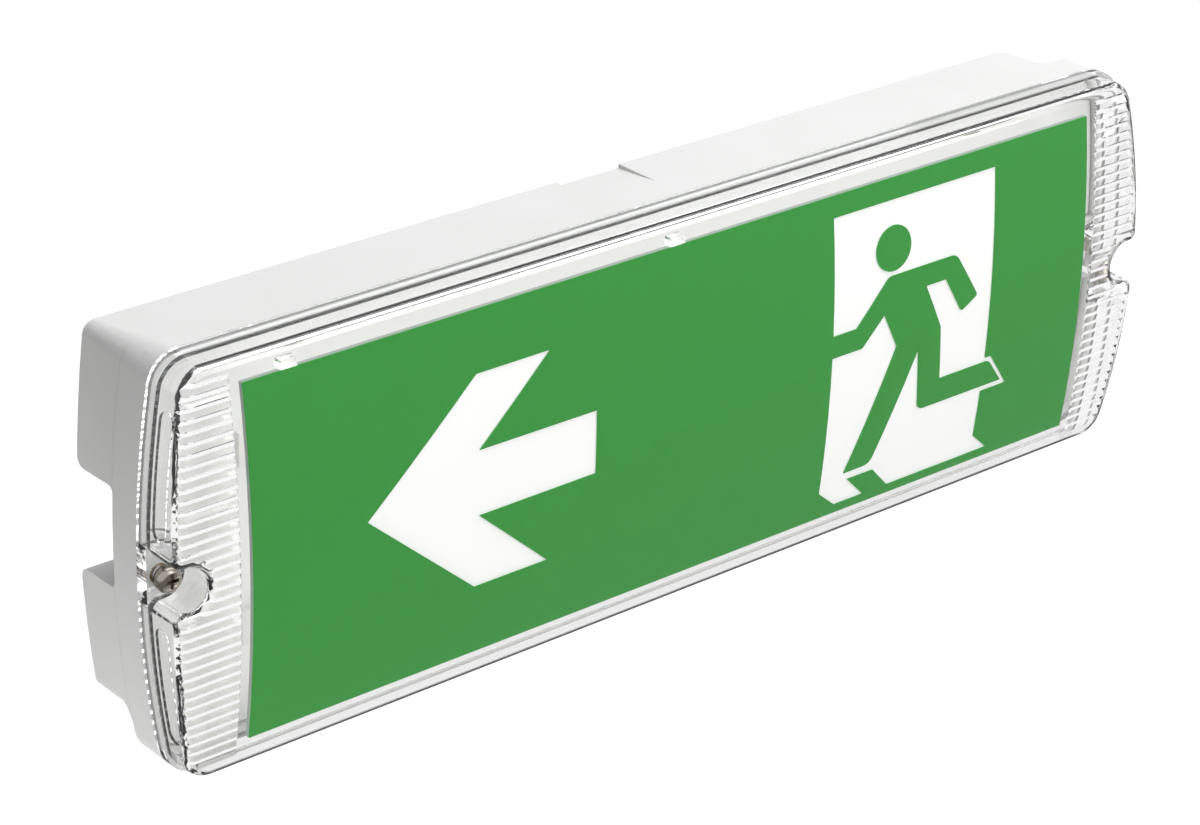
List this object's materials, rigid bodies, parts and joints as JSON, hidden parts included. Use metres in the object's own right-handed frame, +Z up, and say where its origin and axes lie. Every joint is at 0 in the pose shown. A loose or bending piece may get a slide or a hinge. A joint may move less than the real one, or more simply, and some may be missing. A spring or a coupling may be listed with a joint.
{
  "type": "emergency exit light",
  "caption": "Shallow wall bulkhead exit light with a bowed clear cover over a green running-figure legend, a captive screw at each end and a stepped cable-entry back box.",
  "frame": {"origin": "middle of the four wall fixings, on the wall plane", "axes": "+X along the length to the viewer's right, +Y into the wall, +Z up; the light faces -Y"},
  "size_m": [0.36, 0.043, 0.121],
  "materials": {
    "housing_plastic": "light grey moulded polycarbonate, fine matt surface",
    "clear_polycarbonate": "clear, polished",
    "opal_sheet": "opal white, lets light through",
    "green_film": "plain green, lets light through",
    "steel": "zinc plated",
    "seal_rubber": "black, matt",
    "gasket_foam": "grey closed-cell foam",
    "insert_brass": "turned",
    "white_tray": "white, reflects light",
    "white_board": "white light-strip board",
    "chip_lens": "yellow phosphor",
    "white_nylon": "white nylon",
    "battery_sleeve": "plain blue shrink sleeve",
    "spring_steel": "bright",
    "board_green": "board laminate",
    "core_iron": "dark ferrite",
    "winding_tape": "yellow tape",
    "capacitor_sleeve": "dark sleeve",
    "film_box": "red box",
    "chip_black": "black",
    "terminal_nylon": "natural nylon",
    "clear_guide": "clear, slightly green"
  },
  "bodies": {
    "base": {"base_housing": "housing_plastic", "tray_screws": "steel", "board_screws": "steel", "terminal_screws": "steel", "fixing_washers": "seal_rubber", "rear_entry_grommet": "seal_rubber", "side_entry_plug": "seal_rubber", "seal_gasket": "gasket_foam", "threaded_inserts": "insert_brass", "gear_tray": "white_tray", "led_board_upper": "white_board", "led_board_lower": "white_board", "leds": "chip_lens", "board_rivets": "white_nylon", "board_connectors": "white_nylon", "battery_pack": "battery_sleeve", "battery_clips": "spring_steel", "control_board": "board_green", "transformer_core": "core_iron", "transformer_winding": "winding_tape", "capacitors": "capacitor_sleeve", "film_capacitor": "film_box", "control_chip": "chip_black", "test_switch": "chip_black", "terminal_block": "terminal_nylon", "charge_indicator": "clear_guide"},
    "cover": {"diffuser": "clear_polycarbonate", "legend_sheet": "opal_sheet", "legend_film": "green_film", "screw_seals": "seal_rubber"},
    "left_screw": {"cover_screw_left": "steel"},
    "right_screw": {"cover_screw_right": "steel"},
    "button": {"test_button": "white_nylon"}
  },
  "joints": [
    {"name": "cover_lift", "type": "slide", "parent": "base", "child": "cover", "axis": [0, -1, 0], "range_m": [0, 0.08]},
    {"name": "left_screw_out", "type": "slide", "parent": "cover", "child": "left_screw", "axis": [0, -1, 0], "range_m": [0, 0.012]},
    {"name": "right_screw_out", "type": "slide", "parent": "cover", "child": "right_screw", "axis": [0, -1, 0], "range_m": [0, 0.012]},
    {"name": "test_button_press", "type": "slide", "parent": "base", "child": "button", "axis": [0, 1, 0], "range_m": [0, 0.0012], "stiffness_N_per_m": 2500}
  ]
}
